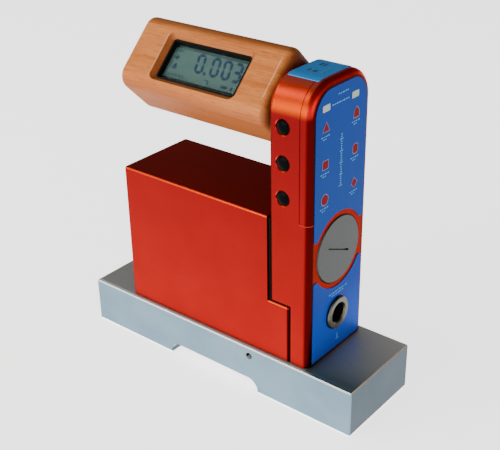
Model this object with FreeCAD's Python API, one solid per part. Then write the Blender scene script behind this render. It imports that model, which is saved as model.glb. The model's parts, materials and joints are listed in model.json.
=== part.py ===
import FreeCAD, Part
import math
import os

os.makedirs("parts", exist_ok=True)
V = FreeCAD.Vector

# The level stands on its steel base. +X runs along the base towards the battery cap,
# -Y is the side that the display faces, +Z is up, and the origin is the middle of the base's underside.

# Shared walls and clearances
wall = 2.5
fit_gap = 0.05
run_gap = 0.2
face_gap = 0.1

# Steel base
base_length = 150.0
base_width = 45.0
base_height = 22.0
base_chamfer = 0.5
relief_length = 52.0
relief_height = 6.0
relief_radius = 5.5
side_hole_x = 21.4
side_hole_drop = 4.2
side_hole_radius = 1.65
side_hole_depth = 8.0

# Sensor housing and the column behind the joint
body_left = -51.0
housing_length = 81.5
housing_height = 66.5
housing_round = 1.2
foot_length = 11.0
foot_land = 7.4
body_width = 41.0
gasket_thickness = 0.5
gasket_inset = 0.6
joint_gap = 1.2
seal_inset = 0.9
column_depth = 19.8
column_round = 13.5
front_round = 3.0
back_round = 1.8
cover_depth = 5.0
cover_land = 2.8
cavity_land = 2.0
cover_seam = 0.15
cover_edge = 0.25

# Body screws from below
screw_radius = 2.0
screw_head_radius = 3.5
screw_head_height = 4.0
screw_engagement = 10.5
screw_cover = 0.4
screw_spare = 0.5
left_screw_x = -20.0
right_screw_x = 16.0
screw_side_gap = 3.8
boss_radius = 4.4
boss_height = 13.0
column_screw_y = 13.0

# Battery, its sleeve and its cap
cell_radius = 13.1
cell_length = 50.0
cell_nub_radius = 3.3
cell_nub_length = 1.5
sleeve_slack = 0.4
sleeve_wall = 0.8
sleeve_seat = 9.3
sleeve_end = 1.2
cap_radius = 15.0
cap_thickness = 2.0
cap_proud = 0.4
cap_chamfer = 0.4
cap_thread = 4.5
cap_thread_gap = 0.25
cap_wall = 2.0
slot_length = 16.0
slot_width = 0.9
slot_depth = 0.8
slot_turn = -24.0
seal_width = 0.9
plunger_radius = 8.0
plunger_thickness = 1.2
plunger_stem = 2.0
guide_height = 0.8
spring_sheet = 0.35
spring_radius = 7.0
spring_bore = 2.6

# Connector
connector_height = 19.3
connector_flange_radius = 7.5
connector_flange_thickness = 1.5
connector_radius = 5.9
connector_bore_radius = 4.4
connector_socket_depth = 7.5
insert_radius = 4.65
insert_length = 6.0
contact_radius = 0.5
contact_ring_radius = 2.4
contact_count = 5
contact_tail = 3.0
ring_nut_radius = 7.5
ring_nut_thickness = 2.0

# Keys on both sides of the column
button_count = 3
button_pitch = 15.0
button_start = 9.0
button_inset = 6.7
button_radius = 3.05
button_dome = 0.8
button_recess = 0.3
button_rim = 0.3
button_flange = 4.0
button_flange_thickness = 1.0
button_travel = 0.8
key_board_reach = 4.0
key_board_gap = 0.6
key_cover_gap = 0.8
stem_radius = 1.75
stem_length = 1.4
switch_size = 5.2
switch_height = 1.7
board_thickness = 1.2
carrier_wall = 1.5
carrier_web = 2.3
carrier_foot = 4.0
carrier_web_rise = 2.5
carrier_screw_rise = 9.0
carrier_screw_reach = 5.0
carrier_web_height = 13.0

# Handle and its pivot
pivot_above_button = 2.75
pivot_to_top = 15.25
handle_length = 79.1
handle_gap = 1.5
handle_half_width = 16.9
handle_front = 16.1
handle_back = 15.8
handle_top_round = 5.8
handle_crease_round = 6.5
handle_back_round = 9.7
handle_left_round = 2.5
handle_right_round = 4.0
handle_tilt = 45.0
turn_forward = 45.0
turn_back = 135.0
pivot_radius = 5.0
pivot_bore = 3.5
pivot_depth = 24.0
pivot_overhang = 6.3
pivot_flange_radius = 11.2
pivot_flange_thickness = 2.2
bush_radius = 6.5
bush_flange_radius = 7.0
washer_radius = 8.0
washer_thickness = 0.8
pivot_nut_radius = 8.2
pivot_nut_thickness = 4.0
stop_radius = 1.0
stop_orbit = 9.1
stop_angle = -90.0
stop_depth = 1.4
flange_screw_head = 1.7
flange_head_height = 1.2
flange_screw_radius = 0.9
flange_screw_length = 9.0
lead_radius = 1.5
lead_bend = 4.0

# Display in the handle
display_x = -9.6
display_length = 42.4
display_width = 18.9
display_offset = -1.35
display_depth = 2.2
display_bevel = 2.1
display_corner = 1.6
display_lip = 0.8
lip_thickness = 1.4
frame_wall = 0.5
window_thickness = 1.0
lcd_thickness = 2.4
lcd_edge_gap = 0.45
strip_width = 1.6
strip_height = 1.7
display_board_thickness = 1.2
pocket_spare = 0.6

# Inclination sensor
sensor_x = -34.0
sensor_height = 20.0
sensor_length = 24.0
sensor_radius = 11.5
sensor_wall = 1.5
bracket_length = 16.0
bracket_half_width = 17.4
clamp_thickness = 1.7
clamp_ear = 3.0
clamp_screw_y = 15.2
mass_radius = 6.0
mass_plate = 1.2
mass_hub = 2.0
flexure_thickness = 0.2
flexure_gap = 0.2
electrode_gap = 0.35
electrode_thickness = 2.5
spacer_width = 1.8

# Circuit board and wiring
board_left = -14.0
board_length = 44.0
board_width = 19.0
board_post_height = 5.0
board_post_radius = 2.4
board_post_inset = 3.0
main_board_thickness = 1.6
processor_size = 10.0
converter_size = 6.0
chip_height = 1.5
relay_length = 7.0
relay_width = 5.0
relay_height = 4.0
capacitor_radius = 1.8
capacitor_height = 6.0
small_screw_radius = 1.25
small_head_radius = 2.2
small_head_height = 1.5
small_screw_length = 6.0
cover_post_radius = 2.8
cover_screw_drop = 2.0
cover_screw_low_y = 6.0
cover_screw_high_y = 9.5
harness_thickness = 0.8
harness_width = 2.6
header_inset = 4.0
header_height = 4.5
header_half_length = 1.8
header_half_width = 3.0
harness_drop_gap = 2.0
harness_hole = 2.2
harness_y = 15.7

# Labels
label_thickness = 0.25
label_inset = 3.2
label_bottom = 1.2
label_circle = 17.3
label_wing = 9.2
label_corner = 1.2
top_label_half = 11.0

# Places worked out from the sizes above
half_base = base_width / 2
half_body = body_width / 2
inner_half = half_body - wall
body_bottom = base_height + gasket_thickness
screw_seat = relief_height + screw_cover + screw_head_height
screw_tip = body_bottom + screw_engagement
housing_right = body_left + housing_length
housing_top = body_bottom + housing_height
foot_right = housing_right + foot_length
column_left = housing_right + joint_gap
column_front = column_left + column_depth
column_foot_left = foot_right + joint_gap
sleeve_inner = cell_radius + sleeve_slack
sleeve_outer = sleeve_inner + sleeve_wall
cap_z = housing_top - wall - run_gap - sleeve_outer
cap_seat_radius = cap_radius + run_gap
foot_top = cap_z - cap_seat_radius - foot_land
column_foot_top = foot_top + joint_gap
cap_front = column_front + cap_proud
cap_seat = cap_front - cap_thickness
thread_radius = cell_radius + 0.7
cap_spigot_radius = thread_radius - cap_thread_gap
cell_front = cap_seat - cap_thread - plunger_thickness + 0.2
cell_back = cell_front - cell_length
connector_z = base_height + connector_height
ring_nut_seat = column_foot_left + ring_nut_thickness + 0.3
cover_bottom = cap_z + cap_seat_radius + cover_land
cavity_bottom = cover_bottom + cavity_land
cavity_left = column_left + wall
cover_left = column_front - cover_depth
button_x = column_left + button_inset
button_zs = [cover_bottom + button_start + step * button_pitch for step in range(button_count)]
pivot_z = button_zs[-1] + pivot_above_button
column_top = pivot_z + pivot_to_top
handle_right = column_left - handle_gap
handle_left = handle_right - handle_length
switch_face = inner_half - face_gap - button_flange_thickness - button_travel - 0.2
board_face = switch_face - switch_height
screw_y = half_body - wall - screw_side_gap
sensor_z = base_height + sensor_height


def box(x0, x1, y0, y1, z0, z1):
    return Part.makeBox(x1 - x0, y1 - y0, z1 - z0, V(x0, y0, z0))


def rod_x(radius, x0, x1, y, z):
    return Part.makeCylinder(radius, x1 - x0, V(x0, y, z), V(1, 0, 0))


def rod_y(radius, y0, y1, x, z):
    return Part.makeCylinder(radius, y1 - y0, V(x, y0, z), V(0, 1, 0))


def rod_z(radius, z0, z1, x, y):
    return Part.makeCylinder(radius, z1 - z0, V(x, y, z0), V(0, 0, 1))


def tube_x(outer, inner, x0, x1, y, z):
    return rod_x(outer, x0, x1, y, z).cut(rod_x(inner, x0 - 1, x1 + 1, y, z))


def mirrored(shape):
    return shape.mirror(V(0, 0, 0), V(0, 1, 0))


def both_sides(shape):
    return [shape, mirrored(shape)]


def group(shapes):
    return Part.makeCompound(shapes)


def fuse(shapes):
    return shapes[0].multiFuse(shapes[1:]).removeSplitter()


def cut(shape, tools):
    return shape.cut(tools)


def edges_in_plane(shape, axis, value):
    """Edges that lie wholly in the plane where the axis has this value."""
    found = []
    for edge in shape.Edges:
        span = edge.BoundBox
        low = getattr(span, axis + "Min")
        high = getattr(span, axis + "Max")
        if abs(low - value) < 0.01 and abs(high - value) < 0.01:
            found.append(edge)
    return found


def stepped_block(left, right, foot, bottom, step, top, half_width):
    """A block whose foot reaches further along +X below the step."""
    outline = [(left, bottom), (foot, bottom), (foot, step), (right, step), (right, top), (left, top)]
    points = [V(x, -half_width, z) for x, z in outline]
    face = Part.Face(Part.makePolygon(points + [points[0]]))
    return face.extrude(V(0, 2 * half_width, 0))


def arch_face(x, half_width, bottom, top, radius):
    """Column outline in the plane at x, flat below and rounded at its two top corners."""
    slant = radius * math.sqrt(0.5)
    corners = [
        V(x, -half_width, bottom),
        V(x, half_width, bottom),
        V(x, half_width, top - radius),
        V(x, half_width - radius, top),
        V(x, radius - half_width, top),
        V(x, -half_width, top - radius),
    ]
    right_mid = V(x, half_width - radius + slant, top - radius + slant)
    left_mid = V(x, radius - half_width - slant, top - radius + slant)
    edges = [
        Part.LineSegment(corners[0], corners[1]).toShape(),
        Part.LineSegment(corners[1], corners[2]).toShape(),
        Part.Arc(corners[2], right_mid, corners[3]).toShape(),
        Part.LineSegment(corners[3], corners[4]).toShape(),
        Part.Arc(corners[4], left_mid, corners[5]).toShape(),
        Part.LineSegment(corners[5], corners[0]).toShape(),
    ]
    return Part.Face(Part.Wire(edges))


def hexagon(flats, height, place, direction):
    """Hexagonal prism that starts at place and runs along direction."""
    corner = flats / math.sqrt(3)
    turns = [math.radians(60 * step) for step in range(7)]
    points = [V(corner * math.cos(turn), corner * math.sin(turn), 0) for turn in turns]
    prism = Part.Face(Part.makePolygon(points)).extrude(V(0, 0, height))
    prism.Placement = FreeCAD.Placement(V(*place), FreeCAD.Rotation(V(0, 0, 1), V(*direction)))
    return prism


def socket_screw(x, y):
    """Upright body screw with a round head and a hexagon socket in its underside."""
    under = screw_seat - screw_head_height
    head = rod_z(screw_head_radius, under, screw_seat, x, y)
    socket = hexagon(screw_radius * 1.5, screw_head_height * 0.55, (x, y, under), (0, 0, 1))
    return head.cut(socket).fuse(rod_z(screw_radius, screw_seat, screw_tip, x, y)).removeSplitter()


def hexagon_screw(place, direction, length):
    """Small hexagon-headed screw: place is the seat under its head, direction runs to the tip."""
    back = V(*place) - V(*direction) * small_head_height
    head = hexagon(small_head_radius * 1.7, small_head_height, tuple(back), direction)
    shank = Part.makeCylinder(small_screw_radius, length, V(*place), V(*direction))
    return head.fuse(shank).removeSplitter()


def notched_nut(outer, bore, x0, x1, z):
    """Round nut along X with two spanner notches across it."""
    nut = tube_x(outer, bore, x0, x1, 0, z)
    notches = [box(x0 - 1, x1 + 1, side * outer - 1.0, side * outer + 1.0, z - 1.0, z + 1.0)
               for side in (-1, 1)]
    return cut(nut, notches)


def body_screw_places():
    places = [(x, side * screw_y) for x in (left_screw_x, right_screw_x) for side in (-1, 1)]
    column_screw_x = (column_foot_left + column_front) / 2
    return places + [(column_screw_x, side * column_screw_y) for side in (-1, 1)]


def base():
    """Ground steel bar with a relieved middle, counterbored from below."""
    bar = box(-base_length / 2, base_length / 2, -half_base, half_base, 0, base_height)
    bar = bar.makeChamfer(base_chamfer, bar.Edges)
    half = relief_length / 2
    relief = box(-half, half, -half_base - 1, half_base + 1, -relief_radius - 1, relief_height)
    upper = [edge for edge in edges_in_plane(relief, "Z", relief_height) if edge.BoundBox.YLength > 1]
    bar = bar.cut(relief.makeFillet(relief_radius, upper))
    holes = []
    for x, y in body_screw_places():
        holes.append(rod_z(screw_head_radius + run_gap, -1, screw_seat, x, y))
        holes.append(rod_z(screw_radius + fit_gap, 0, base_height + 1, x, y))
    for x, y in clamp_post_places() + board_post_places():
        holes.append(rod_z(small_screw_radius + fit_gap, base_height - small_screw_length, base_height + 1, x, y))
    side_z = base_height - side_hole_drop
    holes.append(rod_y(side_hole_radius, -half_base - 1, side_hole_depth - half_base, side_hole_x, side_z))
    return cut(bar, holes)


def base_screws():
    return group([socket_screw(x, y) for x, y in body_screw_places()])


def base_gasket():
    """Thin seal between the base and the red parts, open where the sensor and the board stand."""
    edge = half_body - gasket_inset
    sheet = box(body_left + gasket_inset, column_front - gasket_inset - front_round / 2,
                -edge, edge, base_height, body_bottom)
    inner = box(body_left + wall + gasket_inset, foot_right - wall, -inner_half, inner_half,
                base_height - 1, body_bottom + 1)
    holes = [rod_z(screw_radius + run_gap, base_height - 1, body_bottom + 1, x, y)
             for x, y in body_screw_places()]
    rings = [rod_z(boss_radius, base_height, body_bottom, x, y).common(sheet)
             for x, y in body_screw_places()[:4]]
    return cut(fuse([sheet.cut(inner)] + rings), holes)


def sensor_housing():
    """Red box over the sensor, open below, with a low foot that reaches under the column."""
    outer = stepped_block(body_left, housing_right, foot_right, body_bottom, foot_top, housing_top, half_body)
    upright = [edge for edge in outer.Edges
               if edge.BoundBox.ZLength > 1 and abs(edge.BoundBox.XMax - housing_right) > 0.01]
    outer = outer.makeFillet(housing_round, upright)
    for height in (housing_top, foot_top):
        rim = [edge for edge in edges_in_plane(outer, "Z", height)
               if height > foot_top or edge.BoundBox.XMax > housing_right + 0.01]
        outer = outer.makeFillet(housing_round - 0.2, rim)
    inner = stepped_block(body_left + wall, housing_right - wall, foot_right - wall, body_bottom - 1,
                          foot_top - wall, housing_top - wall, inner_half)
    shell = outer.cut(inner)
    bosses = [rod_z(boss_radius, body_bottom, body_bottom + boss_height, x, y)
              for x, y in body_screw_places()[:4]]
    limits = box(body_left, foot_right, -half_body + 1, half_body - 1, 0, housing_top)
    shell = fuse([shell] + [boss.common(limits) for boss in bosses])
    holes = [rod_z(screw_radius + fit_gap, body_bottom - 1, screw_tip + screw_spare, x, y)
             for x, y in body_screw_places()[:4]]
    holes.append(rod_x(sleeve_outer + fit_gap, housing_right - wall - 1, housing_right + 1, 0, cap_z))
    holes.append(rod_x(insert_radius + run_gap, foot_right - wall - 1, foot_right + 1, 0, connector_z))
    holes.append(rod_x(harness_hole, housing_right - wall - 1, housing_right + 1, harness_y, harness_z()))
    return cut(shell, holes)


def joint_seal():
    """Black seal in the stepped gap between the housing and the column."""
    reach = half_body - seal_inset
    outer = stepped_block(body_left, column_left, column_foot_left, body_bottom,
                          column_foot_top, housing_top - seal_inset, reach)
    inner = stepped_block(body_left - 1, housing_right, foot_right, body_bottom - 1,
                          foot_top, housing_top + 1, reach + 1)
    strip = outer.cut(inner)
    holes = [
        rod_x(sleeve_outer + run_gap, housing_right - 1, column_left + 1, 0, cap_z),
        rod_x(insert_radius + run_gap, foot_right - 1, column_foot_left + 1, 0, connector_z),
        rod_x(harness_hole, housing_right - 1, column_left + 1, harness_y, harness_z()),
    ]
    return cut(strip, holes)


def column_blank():
    """The whole column with its rounded edges, before the cover is parted from it."""
    face = arch_face(column_left, half_body, body_bottom, column_top, column_round)
    blank = face.extrude(V(column_depth, 0, 0))
    for x, radius in ((column_front, front_round), (column_left, back_round)):
        outline = [edge for edge in edges_in_plane(blank, "X", x) if edge.BoundBox.ZMax > body_bottom + 1]
        blank = blank.makeFillet(radius, outline)
    return blank


def cover_screw_places():
    low = cavity_bottom + small_head_radius
    high = column_top - wall - small_head_radius - cover_screw_drop
    return [(side * reach, z) for reach, z in ((cover_screw_low_y, low), (cover_screw_high_y, high))
            for side in (-1, 1)]


def harness_z():
    return cap_z + sleeve_outer * 0.55


def column_body():
    """Red column with the key and pivot chamber above and the battery bore below."""
    body = column_blank()
    notch = box(column_left - 1, column_foot_left, -half_body - 1, half_body + 1, 0, column_foot_top)
    front = box(cover_left, column_front + 1, -half_body - 1, half_body + 1, cover_bottom, column_top + 1)
    body = body.cut(notch).cut(front)
    cavity = arch_face(cavity_left, inner_half, cavity_bottom, column_top - wall, column_round - wall)
    cavity = cavity.extrude(V(cover_left + 1 - cavity_left, 0, 0))
    posts = [rod_x(cover_post_radius, cavity_left - 0.5, cover_left, y, z) for y, z in cover_screw_places()]
    body = fuse([body.cut(cavity)] + posts)
    holes = []
    for y, z in cover_screw_places():
        holes.append(rod_x(small_screw_radius + fit_gap, cover_left - small_screw_length, cover_left + 1, y, z))
    hole_radius = button_radius + run_gap
    for z in button_zs:
        holes.append(rod_y(hole_radius, -half_body - 1, half_body + 1, button_x, z))
        rim = Part.makeCone(hole_radius, hole_radius + button_rim, button_rim,
                            V(button_x, half_body - button_rim, z), V(0, 1, 0))
        pocket = rod_y(button_flange + run_gap, switch_face, inner_half, button_x, z)
        holes += both_sides(rim) + both_sides(pocket)
    for y, z in carrier_screw_places():
        holes.append(rod_x(small_screw_radius + fit_gap, column_left + 0.6, cavity_left + 1, y, z))
    holes.append(rod_x(bush_radius + fit_gap, column_left - 1, cavity_left + 1, 0, pivot_z))
    stop = stop_place()
    holes.append(rod_x(stop_radius + fit_gap, column_left - 1, cavity_left - 0.7, stop[0], stop[1]))
    seat_end = column_left + sleeve_seat
    holes.append(rod_x(sleeve_outer + fit_gap, column_left - 1, seat_end, 0, cap_z))
    holes.append(rod_x(thread_radius, column_left, column_front + 1, 0, cap_z))
    holes.append(rod_x(cap_seat_radius, cap_seat, column_front + 1, 0, cap_z))
    holes.append(rod_x(connector_radius + fit_gap, column_foot_left - 1, column_front + 1, 0, connector_z))
    holes.append(rod_x(ring_nut_radius + run_gap, column_foot_left - 1, ring_nut_seat, 0, connector_z))
    harness_x = harness_column_x()
    elbow = harness_hole * 0.6
    holes.append(rod_x(harness_hole, column_left - 1, harness_x + elbow, harness_y, harness_z()))
    holes.append(rod_z(harness_hole, harness_z() - elbow, cavity_bottom + 1, harness_x, harness_y))
    for x, y in body_screw_places()[4:]:
        holes.append(rod_z(screw_radius + fit_gap, body_bottom - 1, screw_tip + screw_spare, x, y))
    return cut(body, holes)


def front_cover():
    region = box(cover_left, column_front + 1, -half_body - 1, half_body + 1,
                 cover_bottom + cover_seam, column_top + 1)
    plate = column_blank().common(region)
    plate = plate.makeChamfer(cover_edge, edges_in_plane(plate, "X", cover_left))
    holes = []
    for y, z in cover_screw_places():
        holes.append(rod_x(small_screw_radius + fit_gap, cover_left - 1, column_front, y, z))
        holes.append(rod_x(small_head_radius + fit_gap, column_front - small_head_height, column_front + 1, y, z))
    return cut(plate, holes)


def cover_screws():
    """Flat-headed screws let in flush with the cover's face."""
    shapes = []
    for y, z in cover_screw_places():
        shank = rod_x(small_screw_radius, cover_left - small_screw_length + 0.5,
                      column_front - small_head_height, y, z)
        head = rod_x(small_head_radius, column_front - small_head_height, column_front, y, z)
        shapes.append(shank.fuse(head).removeSplitter())
    return group(shapes)


def label_sheet(outline_face):
    return outline_face.extrude(V(label_thickness, 0, 0))


def rounded_ends(shape, radius):
    """Rounds the short edges that run through a thin sheet's thickness."""
    edges = []
    for edge in shape.Edges:
        span = edge.BoundBox
        through = span.XLength > label_thickness * 0.5 and span.YLength < 0.01 and span.ZLength < 0.01
        near = abs(span.Center.z - cap_z) < label_wing + 0.1
        if through and near:
            edges.append(edge)
    return shape.makeFillet(radius, edges)


def upper_label():
    """Blue foil over the upper front face, cut round the battery cap."""
    half_width = half_body - label_inset
    face = arch_face(column_front, half_width, cap_z + label_wing, column_top - label_inset,
                     column_round - label_inset)
    sheet = label_sheet(face).cut(rod_x(label_circle, column_front - 1, column_front + 1, 0, cap_z))
    return rounded_ends(sheet, label_corner)


def lower_label():
    """Blue foil below the battery cap, with a hole for the connector."""
    half_width = half_body - label_inset
    sheet = box(column_front, column_front + label_thickness, -half_width, half_width,
                body_bottom + label_bottom, cap_z - label_wing)
    sheet = sheet.cut(rod_x(label_circle, column_front - 1, column_front + 1, 0, cap_z))
    sheet = sheet.cut(rod_x(connector_flange_radius + run_gap, column_front - 1, column_front + 1, 0, connector_z))
    return rounded_ends(sheet, label_corner)


def top_label():
    """Blue foil on the top of the column, bent a little where its sides reach the rounding."""
    left = column_left + back_round
    right = column_front - front_round - label_thickness
    low = column_top - column_round
    outer = arch_face(left, half_body + label_thickness, low - 1, column_top + label_thickness,
                      column_round + label_thickness)
    inner = arch_face(left, half_body, low - 2, column_top, column_round)
    skin = outer.cut(inner).extrude(V(right - left, 0, 0))
    region = box(left, right, -top_label_half, top_label_half, column_top - column_round / 2, column_top + 1)
    corners = [edge for edge in region.Edges if edge.BoundBox.ZLength > 1]
    return skin.common(region.makeFillet(label_corner / 2, corners))


def in_handle(shape):
    """Turns a shape drawn about the handle's axis, display up, to its place and tilt at rest."""
    turned = shape.copy()
    turned.rotate(V(0, 0, 0), V(1, 0, 0), handle_tilt)
    turned.translate(V(0, 0, pivot_z))
    return turned


def display_plate(grow, low, high):
    """Flat plate with the display window's outline, larger by grow on each side."""
    half_x = display_length / 2 + grow
    half_y = display_width / 2 + grow
    plate = box(display_x - half_x, display_x + half_x, display_offset - half_y, display_offset + half_y, low, high)
    corners = [edge for edge in plate.Edges if edge.BoundBox.ZLength > 0.5 * (high - low)]
    return plate.makeFillet(max(display_corner + grow, 0.4), corners)


def display_outline(grow, height):
    plate = display_plate(grow, height, height + 1)
    face = [face for face in plate.Faces if abs(face.BoundBox.ZMax - height) < 0.01][0]
    return face.OuterWire


display_top = handle_front - display_depth
window_top = display_top - lip_thickness
lcd_top = window_top - window_thickness - face_gap
strip_top = lcd_top - lcd_thickness
display_board_top = strip_top - strip_height
display_board_bottom = display_board_top - display_board_thickness
pocket_floor = display_board_bottom - pocket_spare
tube_start = handle_right - pivot_depth
lead_x = tube_start - 7.0


def handle_grip():
    """Beech grip with rounded edges, a bevelled display window and a bore for the pivot tube."""
    grip = box(handle_left, handle_right, -handle_half_width, handle_half_width, -handle_back, handle_front)
    for y, z, radius in (
        (handle_half_width, handle_front, handle_top_round),
        (-handle_half_width, handle_front, handle_crease_round),
        (handle_half_width, -handle_back, handle_back_round),
        (-handle_half_width, -handle_back, handle_back_round),
    ):
        corner = [edge for edge in edges_in_plane(grip, "Z", z)
                  if abs(edge.BoundBox.YMin - y) < 0.01 and abs(edge.BoundBox.YMax - y) < 0.01]
        grip = grip.makeFillet(radius, corner)
    grip = grip.makeFillet(handle_left_round, edges_in_plane(grip, "X", handle_left))
    grip = grip.makeFillet(handle_right_round, edges_in_plane(grip, "X", handle_right))
    bevel = Part.makeLoft([display_outline(0, display_top),
                           display_outline(display_bevel, handle_front + 0.01)], True, True)
    pocket = display_plate(0, pocket_floor, display_top)
    bore_end = lead_x - lead_bend
    tools = [
        bevel,
        pocket,
        rod_x(pivot_radius + fit_gap, bore_end, handle_right + 1, 0, 0),
        rod_x(pivot_flange_radius + fit_gap, handle_right - pivot_flange_thickness, handle_right + 1, 0, 0),
        rod_z(lead_radius * 2, 0, pocket_floor + 1, lead_x, 0),
    ]
    grip = cut(grip, tools)
    grip = in_handle(grip)
    holes = []
    for y, z in flange_screw_places():
        holes.append(rod_x(flange_screw_radius + fit_gap, handle_right - flange_screw_length,
                           handle_right, y, z))
    return cut(grip, holes)


def display_frame():
    """Black tray that holds the display stack and frames the window."""
    tray = display_plate(-fit_gap, display_board_bottom, display_top)
    opening = display_plate(-display_lip, window_top - 1, display_top + 1)
    cavity = display_plate(-fit_gap - frame_wall, display_board_bottom - 1, window_top)
    return in_handle(tray.cut(opening).cut(cavity))


def display_window():
    plate = display_plate(-frame_wall - 2 * fit_gap, window_top - window_thickness, window_top)
    return in_handle(plate)


def lcd_panel():
    """Liquid crystal panel: a wide rear glass under a narrower front glass."""
    half_x = display_length / 2 - frame_wall - lcd_edge_gap
    half_y = display_width / 2 - frame_wall - lcd_edge_gap
    middle = lcd_top - lcd_thickness / 2
    front = box(display_x - half_x, display_x + half_x, display_offset - half_y + strip_width,
                display_offset + half_y - strip_width, middle, lcd_top)
    rear = box(display_x - half_x, display_x + half_x, display_offset - half_y, display_offset + half_y,
               strip_top, middle)
    return in_handle(front.fuse(rear).removeSplitter())


def contact_strips():
    """Two elastomer strips that connect the panel to its board."""
    half_x = display_length / 2 - frame_wall - 1.5
    inner = display_width / 2 - frame_wall - lcd_edge_gap
    shapes = []
    for side in (-1, 1):
        y = sorted((display_offset + side * (inner - strip_width), display_offset + side * inner))
        shapes.append(box(display_x - half_x, display_x + half_x, y[0], y[1], display_board_top, strip_top))
    return in_handle(group(shapes))


def display_board():
    plate = display_plate(-frame_wall - 2 * fit_gap, display_board_bottom, display_board_top)
    chip = box(display_x - 6, display_x + 6, display_offset - 3, display_offset + 3,
               display_board_top, display_board_top + 1.2)
    return in_handle(plate.fuse(chip).removeSplitter())


def bent_rod(points, radius, bend):
    """Round rod along straight runs joined by arcs of one radius."""
    pieces = []
    here = V(*points[0])
    for index in range(1, len(points) - 1):
        corner = V(*points[index])
        inward = (corner - V(*points[index - 1])).normalize()
        outward = (V(*points[index + 1]) - corner).normalize()
        start = corner - inward * bend
        pieces.append(Part.makeCylinder(radius, (start - here).Length, here, inward))
        section = Part.Face(Part.Wire(Part.makeCircle(radius, start, inward)))
        pieces.append(section.revolve(start + outward * bend, inward.cross(outward), 90))
        here = corner + outward * bend
    last = V(*points[-1])
    pieces.append(Part.makeCylinder(radius, (last - here).Length, here, (last - here).normalize()))
    return fuse(pieces)


def display_lead():
    """Lead from the display board down to the pivot axis and through the hollow pivot."""
    end = cover_left - 3.0
    return in_handle(bent_rod([(lead_x, 0, display_board_bottom - face_gap), (lead_x, 0, 0), (end, 0, 0)],
                              lead_radius, lead_bend))


def ring_sector(inner, outer, x0, x1, start, end):
    """Part of a flat ring about the pivot axis, between two angles from +Y towards +Z."""
    def wedge(radius):
        piece = Part.makeCylinder(radius, x1 - x0, V(0, 0, 0), V(0, 0, 1), end - start)
        piece.rotate(V(0, 0, 0), V(0, 0, 1), start)
        piece.rotate(V(0, 0, 0), V(1, 1, 1), 120)
        piece.translate(V(x0, 0, pivot_z))
        return piece
    return wedge(outer).cut(wedge(inner))


def orbit_place(radius, angle):
    turn = math.radians(angle)
    return (radius * math.cos(turn), pivot_z + radius * math.sin(turn))


def stop_place():
    return orbit_place(stop_orbit, stop_angle)


stop_reach = math.degrees(math.asin((stop_radius + run_gap) / stop_orbit))
groove_start = stop_angle - turn_forward - stop_reach
groove_end = stop_angle + turn_back + stop_reach


def flange_screw_places():
    free = 360.0 - (groove_end - groove_start)
    return [orbit_place(stop_orbit - 0.4, groove_end + free * share) for share in (0.25, 0.5, 0.75)]


def pivot_tube():
    """Steel tube with a flange let into the grip; a groove in the flange runs over the stop pin."""
    start = tube_start
    end = cavity_left + pivot_overhang
    tube = tube_x(pivot_radius, pivot_bore, start, end, 0, pivot_z)
    flange_left = handle_right - pivot_flange_thickness
    flange = tube_x(pivot_flange_radius, pivot_bore, flange_left, handle_right, 0, pivot_z)
    tube = fuse([tube, flange])
    low = stop_orbit - stop_radius - run_gap
    high = stop_orbit + stop_radius + run_gap
    groove = ring_sector(low, high, handle_right - stop_depth, handle_right + 1, groove_start, groove_end)
    holes = [groove]
    for y, z in flange_screw_places():
        holes.append(rod_x(flange_screw_radius + fit_gap, flange_left - 1, handle_right + 1, y, z))
        holes.append(rod_x(flange_screw_head + fit_gap, handle_right - flange_head_height, handle_right + 1, y, z))
    return cut(tube, holes)


def flange_screws():
    shapes = []
    for y, z in flange_screw_places():
        head = rod_x(flange_screw_head, handle_right - flange_head_height, handle_right - fit_gap, y, z)
        shank = rod_x(flange_screw_radius, handle_right - flange_screw_length + 0.5,
                      handle_right - flange_head_height, y, z)
        shapes.append(shank.fuse(head).removeSplitter())
    return group(shapes)


def pivot_bush():
    """Black bearing bush pressed into the column's wall, with a collar towards the grip."""
    hub = tube_x(bush_radius, pivot_radius + fit_gap, column_left, cavity_left, 0, pivot_z)
    collar = tube_x(bush_flange_radius, pivot_radius + fit_gap, handle_right + 2 * run_gap, column_left, 0, pivot_z)
    return fuse([hub, collar])


washer_left = cavity_left + face_gap
washer_right = washer_left + washer_thickness


def friction_washer():
    return tube_x(washer_radius, pivot_radius + fit_gap, washer_left, washer_right, 0, pivot_z)


def pivot_nut():
    """Nut that clamps the friction washer on the pivot tube."""
    return notched_nut(pivot_nut_radius, pivot_radius + fit_gap, washer_right,
                       washer_right + pivot_nut_thickness, pivot_z)


def stop_pin():
    y, z = stop_place()
    return rod_x(stop_radius, handle_right - stop_depth + 2 * run_gap, cavity_left - 0.8, y, z)


def button(z):
    """Domed rubber key with a collar inside the wall and a stem over its switch."""
    collar_face = inner_half - face_gap
    shoulder = half_body - button_recess
    sphere_radius = (button_radius ** 2 + button_dome ** 2) / (2 * button_dome)
    body = rod_y(button_radius, collar_face - button_flange_thickness, shoulder + button_dome, button_x, z)
    ball = Part.makeSphere(sphere_radius, V(button_x, shoulder + button_dome - sphere_radius, z))
    body = body.common(ball.fuse(rod_y(2 * button_radius, 0, shoulder, button_x, z)))
    collar = rod_y(button_flange, collar_face - button_flange_thickness, collar_face, button_x, z)
    stem_end = collar_face - button_flange_thickness
    stem = rod_y(stem_radius, stem_end - stem_length, stem_end + 0.2, button_x, z)
    return fuse([body, collar, stem])


def key_board():
    """Narrow board behind three keys on the +Y side."""
    low = button_zs[0] - key_board_reach
    high = button_zs[-1] + key_board_reach
    return box(cavity_left + key_board_gap, cover_left - key_cover_gap, board_face - board_thickness,
               board_face, low, high)


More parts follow.
